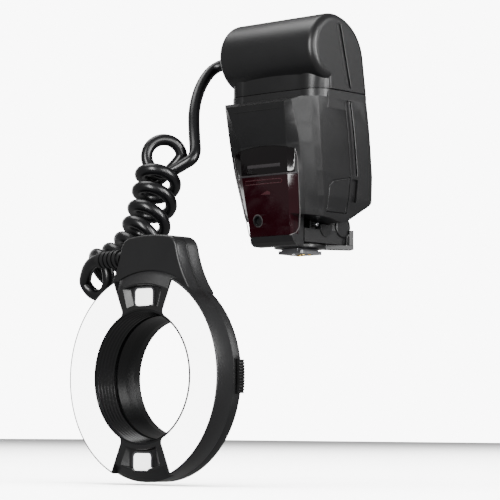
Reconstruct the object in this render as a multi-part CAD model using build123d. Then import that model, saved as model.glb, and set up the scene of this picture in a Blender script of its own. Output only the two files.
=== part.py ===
from build123d import *
import os
from math import sin, cos, tan, radians, degrees, pi, sqrt, hypot, floor

# Macro ring flash in mm, +Z up, front of the camera towards -Y.
# The origin is the centre of the underside of the hot-shoe foot.

os.makedirs("parts", exist_ok=True)


def save(name, shape):
    export_step(shape, "parts/" + name + ".step")


# Ring unit: main sizes, depths are measured from the front plane towards +Y
RING_FRONT_Y = -127.0
RING_Z = -73.0
RIM_R = 56.0
SEAM = 12.5
WALL_FRONT = 18.2
REAR = 20.5
RIM_WALL = 2.0
BORE_R = 36.2
BORE_WALL_R = 37.8
FIT = 0.1
GAP = 0.3
DIFF_IN = 36.35
DIFF_OUT = RIM_R - 0.9
DIFF_ANGLE = 66.4
DIFF_BACK = 2.2
TOWER_FRONT = 4.0
TOWER_REAR = 22.0
TOWER_WALL = 2.0
BOSS_R = 41.0
BOSS_END = 26.0
BOSS_BORE = 36.7
ADAPTER_R = 36.62
FLANGE_R = 35.9
GROOVE_R = 34.3
LENS_R = 31.2
THREAD_R = 33.5
ADAPTER_END = 26.5
THREAD_END = 30.0
RELEASE_TRAVEL = 2.2

RING_AXIS = Axis((0, 0, RING_Z), (0, -1, 0))


def ring_plane(depth):
    return Plane(origin=(0, RING_FRONT_Y + depth, RING_Z), x_dir=(1, 0, 0), z_dir=(0, -1, 0))


def slab(face, front, rear):
    return extrude(ring_plane(rear) * face, amount=rear - front)


def ring_revolve(points, start=0, size=360):
    placed = [(r, RING_FRONT_Y + d, RING_Z) for r, d in points]
    face = make_face(Polyline(*placed, close=True))
    solid = revolve(face, axis=RING_AXIS, revolution_arc=size)
    return solid.rotate(RING_AXIS, start) if start else solid


def sector(r_in, r_out, start, size):
    outer = CenterArc((0, 0), r_out, start, size)
    inner = CenterArc((0, 0), r_in, start, size)
    return make_face([outer, Line(outer @ 1, inner @ 1), inner, Line(inner @ 0, outer @ 0)])


def shift(face, x, y):
    return Pos(x, y, 0) * face


def rounded(width, height, radius):
    return RectangleRounded(width, height, radius)


def box(x0, x1, y0, y1, z0, z1):
    return Pos((x0 + x1) / 2, (y0 + y1) / 2, (z0 + z1) / 2) * Box(abs(x1 - x0), abs(y1 - y0), abs(z1 - z0))


def tube_y(x, z, radius, y0, y1):
    return extrude(Plane(origin=(x, y1, z), x_dir=(1, 0, 0), z_dir=(0, -1, 0)) * Circle(radius), amount=y1 - y0)


def tube_z(x, y, radius, z0, z1):
    return extrude(Plane(origin=(x, y, z0)) * Circle(radius), amount=z1 - z0)


def tube_x(y, z, radius, x0, x1):
    return extrude(Plane(origin=(x0, y, z), x_dir=(0, 1, 0), z_dir=(1, 0, 0)) * Circle(radius), amount=x1 - x0)


# Tubes on biarcs
def unit(v):
    return v / v.length


def biarc_path(points, tangents):
    edges = []
    for p0, p1, t0, t1 in zip(points[:-1], points[1:], tangents[:-1], tangents[1:]):
        v = p1 - p0
        t = t0 + t1
        k = 2 * (1 - t0.dot(t1))
        d = (-v.dot(t) + sqrt(v.dot(t) ** 2 + k * v.dot(v))) / k
        q0 = p0 + t0 * d
        q1 = p1 - t1 * d
        joint = (q0 + q1) / 2
        turn = unit(q1 - q0)
        edges.append(TangentArc(p0, joint, tangent=t0))
        edges.append(TangentArc(joint, p1, tangent=turn))
    return edges


def swept_tube(edges, radius):
    path = Wire(edges)
    start = Plane(origin=path @ 0, z_dir=path % 0)
    return sweep(start * Circle(radius), path=path)


def coil_spring(start, axis, side, radius, wire, length, turns):
    up = axis.cross(side)
    points = []
    tangents = []
    count = int(turns * 4)
    for k in range(count + 1):
        a = pi / 2 * k
        rise = length * k / count
        points.append(start + axis * rise + (side * cos(a) + up * sin(a)) * radius)
        tangents.append(unit((up * cos(a) - side * sin(a)) * radius + axis * (length / count / (pi / 2))))
    return swept_tube(biarc_path(points, tangents), wire / 2)


# Ring housings
TOWER_HALF = 33.0
TOWER_FOOT = RIM_R - 16.0
TOWER_SIDE = ((-33, RIM_R - 10.8), (-25.6, RIM_R + 1.0), (-20.6, RIM_R + 18.2))
TOWER_CROWN = ((-20.6, RIM_R + 18.2), (0, RIM_R + 20.3), (20.6, RIM_R + 18.2))
TOWER_CORNER = 8.0


def circle_through(points):
    (ax, ay), (bx, by), (cx, cy) = points
    d = 2 * (ax * (by - cy) + bx * (cy - ay) + cx * (ay - by))
    a2, b2, c2 = ax * ax + ay * ay, bx * bx + by * by, cx * cx + cy * cy
    x = (a2 * (by - cy) + b2 * (cy - ay) + c2 * (ay - by)) / d
    y = (a2 * (cx - bx) + b2 * (ax - cx) + c2 * (bx - ax)) / d
    return x, y, hypot(ax - x, ay - y)


def tower_face(inset=0.0):
    side_x, side_y, side_r = circle_through(TOWER_SIDE)
    crown_x, crown_y, crown_r = circle_through(TOWER_CROWN)
    foot = TOWER_FOOT + inset
    head = TOWER_CROWN[1][1] + 1
    face = Pos(0, (foot + head) / 2) * Rectangle(2 * (TOWER_HALF - inset), head - foot)
    face &= Pos(crown_x, crown_y) * Circle(crown_r - inset)
    face -= Pos(side_x, side_y) * Circle(side_r + inset)
    face -= Pos(-side_x, side_y) * Circle(side_r + inset)
    corners = face.vertices().sort_by(Axis.Y)[-2:]
    return fillet(corners, TOWER_CORNER - inset)


def angle_pair(center, half):
    return center - half, 2 * half


LEFT = (180 - DIFF_ANGLE, 2 * DIFF_ANGLE)


def on_side(solid, side):
    return mirror(solid, about=Plane.YZ) if side == "right" else solid


def diffuser_face(clear=0.0):
    face = sector(DIFF_IN, DIFF_OUT, *LEFT)
    inner = face.vertices().sort_by(lambda v: hypot(v.X, v.Y))[:2]
    face = fillet(inner, 2.6)
    return offset(face, amount=clear, kind=Kind.INTERSECTION) if clear else face


BRIDGES = (90, 270)
LAMP_W = 13.4
LAMP_H = 9.8
LAMP_TOP = 42.5
LAMP_BOTTOM = -45.2
LAMPS = {"top": LAMP_TOP, "bottom": LAMP_BOTTOM}
POCKET = 2.2

rim = slab(Circle(RIM_R), 0, SEAM)
rim = fillet(rim.edges().sort_by(Axis.Y)[0:1], 0.5)
tower_block = slab(tower_face(), TOWER_FRONT, SEAM)
tower_block = fillet(tower_block.faces().sort_by(Axis.Y)[0].edges(), 1.6)
front = rim + tower_block
front -= slab(Circle(BORE_R), -1, SEAM + 1)
for side in ("left", "right"):
    front -= on_side(slab(diffuser_face(FIT), -1, DIFF_BACK), side)
    front -= on_side(slab(sector(BORE_WALL_R, RIM_R - RIM_WALL, *LEFT), DIFF_BACK - 1, SEAM + 1), side)
cone = ring_revolve([(RIM_R - 6, -0.5), (RIM_R + 1, -0.5), (RIM_R + 1, 4.667), (RIM_R - 6, 0)])
for angle in BRIDGES:
    start, size = angle_pair(angle, 90 - DIFF_ANGLE - 1.2)
    front -= cone & slab(sector(RIM_R - 11, RIM_R + 4, start, size), -1, 6)
    pocket_top = ring_plane(-0.01) * sector(38.6, 49.2, *angle_pair(angle, 17.5))
    pocket_low = ring_plane(POCKET) * sector(39.2, 48.6, *angle_pair(angle, 12.5))
    front -= loft([pocket_top, pocket_low], ruled=True)
    front -= slab(sector(38.6, 51.5, *angle_pair(angle, 13)), 4.2, SEAM + 1)
for name, z in LAMPS.items():
    front -= slab(shift(rounded(LAMP_W - 0.4, LAMP_H - 0.4, 2.2), 0, z), 0, 5)
tower_room = tower_face(TOWER_WALL) - Circle(RIM_R)
front -= slab(tower_room, TOWER_FRONT + TOWER_WALL, SEAM + 1)
front -= slab(shift(Rectangle(8, 10), 0, RIM_R - 3.0), 7.5, SEAM + 1)

rear = slab(Circle(RIM_R), SEAM, REAR)
rear = chamfer(rear.edges().sort_by(Axis.Y)[-1:], 2.4)
tower_back = slab(tower_face(), SEAM, TOWER_REAR)
tower_back = fillet(tower_back.faces().sort_by(Axis.Y)[-1].edges(), 2.4)
rear += tower_back
rear += slab(Circle(BOSS_R), REAR - 1, BOSS_END)
rear = rear - slab(Circle(BOSS_BORE), 0, 40)
rear -= slab(Circle(RIM_R - RIM_WALL), SEAM - 1, WALL_FRONT)
rear -= slab(tower_room, SEAM - 1, TOWER_REAR - TOWER_WALL)
rear -= slab(shift(Rectangle(8, 10), 0, RIM_R - 3.0), SEAM - 1, WALL_FRONT)

# Release buttons, latch plates and their springs
BUTTON_HALF = 8.8
SLOT_HALF = 9.0
PLUG_IN = RIM_R - 6.0
PLUG_OUT = RIM_R - 1.5
TEETH_OUT = RIM_R + 1.6
PLATES = {"left": (15.6, 16.6), "right": (16.9, 17.9)}
SPRING_Z = 6.5
SPRING_DEPTH = 16.5
SPRING_IN = RIM_R - 8.7
SPRING_OUT = RIM_R - 4.1
RIB_IN = RIM_R - 10.0
RIB_OUT = RIM_R - 8.8
SLOT_IN = PLUG_IN - RELEASE_TRAVEL - 0.3
SLOT_OUT = RIM_R + 1.8
buttons = {}
for side, sx in (("left", -1), ("right", 1)):
    slot_face = shift(Rectangle(SLOT_OUT - SLOT_IN, 2 * SLOT_HALF), sx * (SLOT_IN + SLOT_OUT) / 2, 0)
    rear -= slab(slot_face, SEAM + 0.4, 19.5)
    rib = slab(shift(Rectangle(RIB_OUT - RIB_IN, 4.6), sx * (RIB_IN + RIB_OUT) / 2, SPRING_Z + 0.4), 14.2, WALL_FRONT)
    rear += rib
    plug = slab(shift(Rectangle(PLUG_OUT - PLUG_IN, 2 * BUTTON_HALF), sx * (PLUG_IN + PLUG_OUT) / 2, 0), 13.2, 19.2)
    pad = slab(shift(Rectangle(TEETH_OUT - PLUG_IN, 2 * BUTTON_HALF), sx * (PLUG_IN + TEETH_OUT) / 2, 0), 15.4, 19.2)
    round_off = slab(Circle(TEETH_OUT) - Circle(40), 13, 20)
    button = plug + (pad & round_off)
    for k in range(11):
        z = (k - 5) * 1.55
        edge = sqrt(TEETH_OUT ** 2 - z ** 2)
        notch = slab(shift(Rot(0, 0, 45) * Rectangle(0.8, 0.8), sx * (edge + 0.02), z), 15, 20)
        button -= notch
    button -= tube_x(RING_FRONT_Y + SPRING_DEPTH, RING_Z + SPRING_Z, 1.9, min(sx * (PLUG_IN - 1), sx * SPRING_OUT),
                     max(sx * (PLUG_IN - 1), sx * SPRING_OUT))
    save("release_button_" + side, button)
    p0, p1 = PLATES[side]
    plate = slab(Circle(43) - Circle(38.3), p0, p1)
    claw = slab(shift(Rectangle(4.4, 16), -sx * (34.6 + 2.2), 0), p0, p1)
    arm = slab(shift(Rectangle(PLUG_IN - 41, 8), sx * (PLUG_IN + 41) / 2, 0), p0, p1)
    save("latch_plate_" + side, plate + claw + arm)
    spring = coil_spring(Vector(sx * (SPRING_IN + 0.22), RING_FRONT_Y + SPRING_DEPTH, RING_Z + SPRING_Z),
                         Vector(sx, 0, 0), Vector(0, 1, 0), 1.35, 0.4, SPRING_OUT - SPRING_IN - 0.44, 4.5)
    save("release_spring_" + side, spring)

# Rear screws of the ring
SCREW_R = RIM_R - 6.0
SCREW_ANGLES = (70.5, 109.5, 250.5, 289.5)
screws = []
for angle in SCREW_ANGLES:
    x = SCREW_R * cos(radians(angle))
    z = SCREW_R * sin(radians(angle))
    rear += slab(shift(Circle(2.4), x, z), SEAM, WALL_FRONT + 0.2)
    rear -= slab(shift(Circle(1.15), x, z), SEAM - 1, REAR)
    rear -= slab(shift(Circle(2.2), x, z), 19.2, REAR + 1)
    front -= slab(shift(Circle(1.05), x, z), 6.8, SEAM + 1)
    screw = slab(shift(Circle(1.0), x, z), 7, 19.3) + slab(shift(Circle(2.0), x, z), 19.2, 20.4)
    screw -= slab(shift(Rectangle(2.4, 0.6) + Rectangle(0.6, 2.4), x, z), 19.7, 21)
    screws.append(screw)
ring_screws = screws[0] + screws[1:]
save("ring_screws", ring_screws)

# Cord gland in the tower wall
GLAND_Y = -118.4
GLAND_Z = RING_Z + RIM_R + 8.5
GLAND_MOUTH = -42.5
GLAND_HOLE = 2.6
gland_bore = tube_x(GLAND_Y, GLAND_Z, GLAND_HOLE + 0.1, -30, -18)
front -= gland_bore
save("ring_front_housing", front)
save("ring_rear_housing", rear)
gland = tube_x(GLAND_Y, GLAND_Z, 4.1, GLAND_MOUTH, -18)
for k in range(5):
    x = -26.6 - 3.3 * k
    gland += tube_x(GLAND_Y, GLAND_Z, 5.0 - 0.08 * k, x - 1.0, x + 1.0)
wall_foot = Vector(-25.6, 0, RING_Z + RIM_R + 1.0)
wall_head = Vector(-21.25, 0, RING_Z + RIM_R + 15.2)
wall_way = unit(wall_head - wall_foot)
beyond = Plane(origin=wall_foot + wall_way * 7.5 + Vector(0, GLAND_Y, 0), x_dir=(0, 1, 0), z_dir=(wall_way.Z, 0, -wall_way.X))
gland -= extrude(beyond * Rectangle(30, 60), amount=30)
gland += tube_x(GLAND_Y, GLAND_Z, GLAND_HOLE, -25.6, -18.6)
gland += box(-19.4, -18.2, GLAND_Y - 2.4, GLAND_Y + 3.7, GLAND_Z - 3.6, GLAND_Z + 3.6)
save("ring_cord_gland", gland)

# Lamp covers, troughs, tubes, board
start, size = LEFT
for side in ("left", "right"):
    skirt = sector(BORE_WALL_R + 0.15, RIM_R - RIM_WALL - 0.15, start + 0.6, size - 1.2)
    skirt -= sector(BORE_WALL_R + 1.35, RIM_R - RIM_WALL - 1.35, start + 2.2, size - 4.4)
    cover = slab(diffuser_face(), 0.2, DIFF_BACK) + slab(skirt, DIFF_BACK - 0.5, 5)
    save("diffuser_" + side, on_side(cover, side))
    r_lo = BORE_WALL_R + 0.2
    r_hi = RIM_R - RIM_WALL - 0.2
    outer = [(r_lo, 5.3), (r_lo + 0.9, 5.3), (r_lo + 1.9, 8.2), (r_lo + 4.6, 11.0), (r_hi - 4.6, 11.0), (r_hi - 1.9, 8.2),
             (r_hi - 0.9, 5.3), (r_hi, 5.3), (r_hi, 8.0), (r_hi - 3.6, 12.0), (r_lo + 3.6, 12.0), (r_lo, 8.0)]
    trough = ring_revolve(outer, start + 5, size - 10)
    end_plate = [(r_lo, 5.3), (r_hi, 5.3), (r_hi, 8.0), (r_hi - 3.6, 12.0), (r_lo + 3.6, 12.0), (r_lo, 8.0)]
    trough += ring_revolve(end_plate, start + 3.6, 1.5)
    trough += ring_revolve(end_plate, start + size - 5.1, 1.5)
    save("reflector_" + side, on_side(trough, side))
    ring_face = Plane.XY.offset(RING_Z) * (Pos(46, RING_FRONT_Y + 8.4) * Circle(2.0))
    lamp_tube = revolve(ring_face, axis=RING_AXIS, revolution_arc=size - 10.2)
    save("flash_tube_" + side, on_side(lamp_tube.rotate(RING_AXIS, start + 5.1), side))

board = sector(BORE_WALL_R + 0.3, RIM_R - 3.4, 104, 332)
board -= shift(Rectangle(12, 2 * SLOT_HALF + 1), RIM_R - 2.6, 0) + shift(Rectangle(12, 2 * SLOT_HALF + 1), 2.6 - RIM_R, 0)
for angle in SCREW_ANGLES:
    board -= shift(Circle(2.9), SCREW_R * cos(radians(angle)), SCREW_R * sin(radians(angle)))
save("ring_circuit_board", slab(board, 12.6, 13.9))

bezels = []
windows = []
lamps = []
for name, z in LAMPS.items():
    ring_of = shift(rounded(LAMP_W + 2.0, LAMP_H + 1.4, 3.0) - rounded(LAMP_W, LAMP_H, 2.4), 0, z)
    trim = sector(39.4, 48.4, *angle_pair(90 if z > 0 else 270, 12.2))
    bezels.append(slab(ring_of & trim, 1.2, POCKET))
    window = slab(shift(rounded(LAMP_W - 0.7, LAMP_H - 0.7, 2.1), 0, z), 0.9, 4.2)
    window = chamfer(window.faces().sort_by(Axis.Y)[0].edges(), 0.5)
    windows.append(window + slab(shift(rounded(LAMP_W + 1.2, LAMP_H - 2.2, 1.0), 0, z), 4.2, 5.2))
    lamp = slab(shift(Rectangle(12, 7.4), 0, z), 9.4, 10.6) + slab(shift(Circle(3.2), 0, z), 6.8, 9.4)
    lamp += slab(shift(Rectangle(1.6, 7.4), -5.2, z), 5.2, 9.4) + slab(shift(Rectangle(1.6, 7.4), 5.2, z), 5.2, 9.4)
    lamps.append(lamp)
save("lamp_bezels", bezels[0] + bezels[1:])
save("lamp_windows", windows[0] + windows[1:])
save("focus_lamps", lamps[0] + lamps[1:])

# Bore baffle with its ridges, and the turning adapter ring
ridges = [(BORE_R - 0.1, 0.0), (35.3, 0.0)]
RIDGES = 6
for k in range(RIDGES):
    d = 0.6 + k * 2.1
    r = 35.2 - 0.28 * k
    ridges += [(r, d), (r - 0.55, d + 0.5), (r - 0.55, d + 1.0), (r + 0.25, d + 1.5)]
ridges += [(33.5, 13.9), (BORE_R - 0.1, 13.9)]
save("bore_baffle", ring_revolve(ridges))

adapter = [(32.9, 14.3), (FLANGE_R, 14.3), (FLANGE_R, 15.2), (GROOVE_R, 15.2), (GROOVE_R, 18.3), (ADAPTER_R, 18.3),
           (ADAPTER_R, ADAPTER_END), (33.0, ADAPTER_END)]
for k in range(4):
    d = ADAPTER_END + 0.2 + 0.8 * k
    adapter += [(33.0, d), (THREAD_R, d + 0.15), (THREAD_R, d + 0.5), (33.0, d + 0.65)]
adapter += [(33.0, THREAD_END), (LENS_R, THREAD_END), (LENS_R, ADAPTER_END - 1), (32.2, 20.0)]
save("adapter_ring", ring_revolve(adapter))

# Cord: one tube in three stretches
CORD_D = 6.8
CORD_R = CORD_D / 2
SIDE_WAY = Vector(0.734, 0.679, 0)
UP_WAY = Vector(0, 0, 1)
NEAR_WAY = Vector(0.679, -0.734, 0)
CURL_CENTRES = [(-56.9, -57.4, 53.0), (-54.7, -61.5, 42.1), (-52.9, -65.9, 31.0), (-51.5, -71.5, 19.0), (-50.4, -78.0, 8.2),
                (-50.2, -86.5, -2.3), (-51.6, -96.5, -9.6), (-54.6, -106.2, -14.2), (-49.2, -123.1, -20.1)]
TILT = [0, 1, 9, 19, 30, 40, 50, 66, 90]
LEAN = radians(27)
CURL_R = 10.6
CURL_START = 0.5
CURL_END = 7.5
LOOP_CENTRE = Vector(-54.7, -56.7, 56.0)
LOOP_R = 10.2
LOOP_NEAR = 3.4
LOOP_FAR = -6.2
CORD_END = Vector(-49.3, GLAND_Y, GLAND_Z)


def between(values, n):
    i = int(min(max(floor(n), 0), len(values) - 2))
    f = n - i
    p = [values[min(max(k, 0), len(values) - 1)] for k in (i - 1, i, i + 1, i + 2)]
    if i == 0:
        p[0] = p[1] * 2 - p[2]
    if i == len(values) - 2:
        p[3] = p[2] * 2 - p[1]
    return (p[1] * 2 + (p[2] - p[0]) * f + (p[0] * 2 - p[1] * 5 + p[2] * 4 - p[3]) * f * f
            + (p[1] * 3 - p[0] - p[2] * 3 + p[3]) * f * f * f) * 0.5


def curl_point(n):
    tilt = radians(between(TILT, n))
    axis = (UP_WAY * cos(tilt) + SIDE_WAY * sin(tilt)) * -cos(LEAN) + NEAR_WAY * sin(LEAN)
    c = unit(NEAR_WAY - axis * NEAR_WAY.dot(axis))
    r = c.cross(axis)
    radius = CURL_R + 1.4 * min(max((n - 6.8) / 0.7, 0), 1)
    centre = between([Vector(*p) for p in CURL_CENTRES], n)
    return centre + (c * cos(2 * pi * n) + r * sin(2 * pi * n)) * radius


def loop_point(phi):
    k = (-60 - phi) / 300
    near = LOOP_NEAR * (1 - k) + LOOP_FAR * k
    a = radians(phi)
    return LOOP_CENTRE + (SIDE_WAY * cos(a) + UP_WAY * sin(a)) * LOOP_R + NEAR_WAY * near


def along(function, value, step):
    return unit(function(value + step) - function(value - step))


points = []
tangents = []
for phi in (-60, -90, -180, -270, -360):
    points.append(loop_point(phi))
    tangents.append(along(loop_point, phi, -0.5))
quarter = int((CURL_END - CURL_START) * 4)
for k in range(quarter + 1):
    n = CURL_START + k / 4
    points.append(curl_point(n))
    tangents.append(along(curl_point, n, 0.002))
points.append(CORD_END)
tangents.append(Vector(1, 0, 0))
LEAD = points[0] - tangents[0] * CORD_D
curl_edges = [Line(LEAD, points[0])] + biarc_path(points, tangents)
curl_edges.append(Line(CORD_END, Vector(GLAND_MOUTH, GLAND_Y, GLAND_Z)))
curls = swept_tube(curl_edges, CORD_R)
save("cord_curls", curls)

# Least gap of the coil to itself and its sharpest bend, measured on points
track = []
lengths = []
total = 0
for edge in curl_edges:
    for k in range(6):
        p = edge @ (k / 6)
        if track:
            total += (p - track[-1]).length
        track.append(p)
        lengths.append(total)
least = 999
for i in range(len(track)):
    for j in range(i + 1, len(track)):
        if lengths[j] - lengths[i] > 16:
            least = min(least, (track[i] - track[j]).length)
print("curls: length", round(total, 1), "least gap to itself", round(least - CORD_D, 2))
radii = []
for edge in curl_edges[1:]:
    a, b, c = edge @ 0, edge @ 0.5, edge @ 1
    area = (b - a).cross(c - a).length
    if area > 1e-6:
        radii.append((b - a).length * (c - b).length * (c - a).length / (2 * area))
print("curls: least bend radius", round(min(radii), 2), "volume ratio",
      round(curls.volume / (pi * CORD_R ** 2 * total), 4))
gland_least = min((p - Vector(x, GLAND_Y, GLAND_Z)).length for p in track[:-14] for x in (-26, -30, -34, -38, -42, -45, -49))
print("curls: least distance from the gland line", round(gland_least, 2))
rim_least = min(hypot(p.X, p.Z - RING_Z) for p in track if p.Y < RING_FRONT_Y + 30) - RIM_R - CORD_R
print("curls: least gap to the rim", round(rim_least, 2))

HEAD_Y = -12.0
HEAD_Z = 115.0
HEAD_R = 20.0
HEAD_HALF = 37.0
HEAD_GLAND = -42.0
FOLD = LEAD - tangents[0] * 9
run = [Vector(HEAD_GLAND, HEAD_Y, HEAD_Z), Vector(-56.0, HEAD_Y, HEAD_Z), Vector(-56.8, -24.0, 103.0), Vector(-52.0, -35.5, 86.0),
       Vector(-45.5, -41.5, 69.0), FOLD, LEAD]


def run_radii(vertices):
    out = []
    for a, b, c in zip(vertices[:-2], vertices[1:-1], vertices[2:]):
        half = radians((b - a).get_angle(c - b)) / 2
        out.append(0.45 * min((b - a).length, (c - b).length) / tan(half))
    return out


upper_radii = run_radii(run)
print("upper run radii", [round(r, 1) for r in upper_radii])
print("upper run turns", [round((b - a).get_angle(c - b), 1) for a, b, c in zip(run[:-2], run[1:-1], run[2:])],
      "last turn into the curls", round((run[-1] - run[-2]).get_angle(tangents[0]), 1))
upper = FilletPolyline(*run, radius=upper_radii)
upper_run = swept_tube(upper.edges(), CORD_R)
print("upper run length", round(upper.length, 1), "volume ratio", round(upper_run.volume / (pi * CORD_R ** 2 * upper.length), 4))
save("cord_upper_run", upper_run)
print("cord length", round(total + upper.length, 1))

# Controller body: half outline in plan at each height, the back is one leaning plane
REAR_SLOPE = 0.1944


def rear_y(z):
    return 29.9 - REAR_SLOPE * (z - 38)


OUTLINE = [
    (3.0, 15.0, -25.0, 20.6, -20.0, 25.4, -13.6, 27.6, -11.6, 28.8, 24.0),
    (14.0, 15.5, -26.2, 22.0, -21.0, 26.6, -15.0, 28.8, -12.8, 30.0, 26.5),
    (24.0, 16.2, -27.9, 23.7, -22.6, 28.0, -16.6, 30.3, -14.1, 31.4, 28.6),
    (31.0, 16.8, -29.0, 24.7, -24.0, 29.4, -18.6, 31.9, -15.9, 33.0, 29.8),
    (45.0, 17.7, -31.0, 26.0, -27.6, 30.8, -21.7, 33.3, -19.0, 34.4, rear_y(45)),
    (60.0, 17.7, -32.2, 26.5, -31.0, 31.7, -25.0, 34.6, -21.9, 35.6, rear_y(60)),
    (71.0, 19.8, -35.6, 26.2, -33.6, 32.1, -26.6, 35.2, -23.5, 36.3, rear_y(71)),
    (92.0, 24.0, -41.9, 24.9, -39.0, 32.8, -30.0, 35.9, -26.6, 36.8, rear_y(92)),
]
REAR_CORNER = 8.0
WALL = 2.0


def outline_at(z):
    rows = OUTLINE
    for low, high in zip(rows[:-1], rows[1:]):
        if z <= high[0] or high is rows[-1]:
            f = (z - low[0]) / (high[0] - low[0])
            return [a + (b - a) * f for a, b in zip(low, high)][1:]


def inset_points(points, inset):
    out = []
    count = len(points)
    for k in range(count):
        p, c, q = points[k - 1], points[k], points[(k + 1) % count]
        e0 = (c[0] - p[0], c[1] - p[1])
        e1 = (q[0] - c[0], q[1] - c[1])
        l0 = hypot(*e0)
        l1 = hypot(*e1)
        n0 = (-e0[1] / l0, e0[0] / l0)
        n1 = (-e1[1] / l1, e1[0] / l1)
        cross = e0[0] * e1[1] - e0[1] * e1[0]
        a = (c[0] + n0[0] * inset, c[1] + n0[1] * inset)
        b = (c[0] + n1[0] * inset, c[1] + n1[1] * inset)
        t = ((b[0] - a[0]) * e1[1] - (b[1] - a[1]) * e1[0]) / cross
        out.append((a[0] + e0[0] * t, a[1] + e0[1] * t))
    return out


def body_face(z, inset=0.0):
    x1, y1, x2, y2, x3, y3, x4, y4, x5, y5 = outline_at(z)
    right = [(x1, y1), (x2, y2), (x3, y3), (x4, y4), (x5, y5)]
    points = right + [(-x, y) for x, y in reversed(right)]
    points = inset_points(points, inset)
    radius = REAR_CORNER - inset
    edges = []
    rear_right = points[4]
    rear_left = points[5]
    side = (points[4][0] - points[3][0], points[4][1] - points[3][1])
    length = hypot(*side)
    half = (pi - (pi / 2 + atan_small(side))) / 2
    back = radius * tan(half)
    a = (rear_right[0] - side[0] / length * back, rear_right[1] - side[1] / length * back)
    b = (rear_right[0] - back, rear_right[1])
    a2 = (-a[0], a[1])
    b2 = (-b[0], b[1])
    chain = points[:4]
    for p, q in zip(chain[:-1], chain[1:]):
        edges.append(Line(p, q))
    edges.append(Line(points[3], a))
    edges.append(TangentArc(a, b, tangent=(side[0] / length, side[1] / length)))
    edges.append(Line(b, b2))
    edges.append(TangentArc(b2, a2, tangent=(-1, 0)))
    edges.append(Line(a2, points[6]))
    for p, q in zip(points[6:-1], points[7:]):
        edges.append(Line(p, q))
    edges.append(Line(points[-1], points[0]))
    return Pos(0, 0, z) * make_face(edges)


def atan_small(side):
    return side[0] / side[1]


def body_loft(heights, inset=0.0):
    return loft([body_face(z, inset) for z in heights], ruled=True)


def prism_x(points, half):
    face = Plane(origin=(-half, 0, 0), x_dir=(0, 1, 0), z_dir=(1, 0, 0)) * make_face(Polyline(*points, close=True))
    return extrude(face, amount=2 * half)


def prism_y(face, y0, y1):
    return extrude(Plane(origin=(0, y1, 0), x_dir=(1, 0, 0), z_dir=(0, -1, 0)) * face, amount=y1 - y0)


PANEL_TOP = 83.0
BODY_TOP = 86.5
PEDESTAL_TOP = 91.0
NECK_BOTTOM = 91.4
FRONT_DRUM = -26.0


def drum_face(inset=0.0):
    w = 36.3 - inset
    f = FRONT_DRUM + inset
    r = 20.0 - inset
    x4, y4 = 35.9 - inset, -17.0
    edges = [
        ThreePointArc((-22, f + 0.9), (0, f), (22, f + 0.9)),
        ThreePointArc((22, f + 0.9), (31.6 - 0.7 * inset, -23.3 + 0.7 * inset), (x4, y4)),
        Line((x4, y4), (w, r - 7)),
        ThreePointArc((w, r - 7), (w - 2.05, r - 2.05), (w - 7, r)),
        Line((w - 7, r), (7 - w, r)),
        ThreePointArc((7 - w, r), (2.05 - w, r - 2.05), (-w, r - 7)),
        Line((-w, r - 7), (-x4, y4)),
        ThreePointArc((-x4, y4), (-31.6 + 0.7 * inset, -23.3 + 0.7 * inset), (-22, f + 0.9)),
    ]
    return make_face(edges)


def drum(z0, z1, inset=0.0):
    return extrude(Pos(0, 0, z0) * drum_face(inset), amount=z1 - z0)


HEIGHTS = [3.0, 14.0, 24.0, 31.0, 45.0, 60.0, 71.0, 92.0]


def body_solid(inset):
    solid = body_loft(HEIGHTS, inset)
    under = [(-60, -5), (60, -5), (60, 36), (30.5 - inset, 33.5 + inset), (26, 29.2 + inset * 1.2), (21, 26.4 + inset * 1.2), (6, 17.6 + inset),
             (2, 17.0 + inset), (-8, 19.0 + inset), (-17.5, 20.2 + inset), (-17.5, 20.2 + inset), (-60, 24 + inset)]
    under = under[:-3] + under[-2:]
    tongue_half = 16.4 - inset
    tongue = box(-tongue_half, tongue_half, -60, -15.5 - inset, 3.6 + inset, 40)
    chin = prism_x([(-60, 0), (-14, 0), (-14, 3.6 + inset), (-21.6, 3.8 + inset), (-24.0 + inset, 5.6 + inset), (-25.4 + inset, 9.0 + inset), (-60, 9 + inset)], 60)
    low = solid & tongue
    low -= chin
    main = solid - prism_x(under, 60)
    solid = main + low
    top = [(-60, PANEL_TOP - inset), (-39.2, PANEL_TOP - inset), (-33.0, BODY_TOP - 0.6 - inset), (-20, BODY_TOP - inset), (60, BODY_TOP - inset), (60, 120), (-60, 120)]
    solid -= prism_x(top, 60)
    return solid


outer = body_solid(0) + drum(BODY_TOP - 6, PEDESTAL_TOP)
inner = body_solid(WALL) + drum(BODY_TOP - 8, PEDESTAL_TOP + 1, WALL)
PART_TOP_Y = 0.0
PART_SLOPE = 0.207


def part_y(z):
    return PART_TOP_Y + PART_SLOPE * (86.0 - z)


front_side = prism_x([(part_y(0), 0), (part_y(100), 100), (-80, 100), (-80, 0)], 60)
shell = outer - inner

# Parting groove with its two side ribs
GROOVE_HALF = 2.0
groove = prism_x([(part_y(44) - GROOVE_HALF, 44), (part_y(86) - GROOVE_HALF, 86), (part_y(86) + GROOVE_HALF, 86),
                  (part_y(44) + GROOVE_HALF, 44)], 60)
skin = outer - body_solid(0.8)
groove_cut = (groove & skin) - box(-60, 30, -60, 60, 0, 120)
shell -= groove_cut
body_front = shell & front_side
body_rear = shell - front_side

# Autofocus windows wrap on to the bevels
WINDOW_T = 1.4
DIVIDER_Z = 43.4
WINDOW_TOP = 59.8


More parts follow.
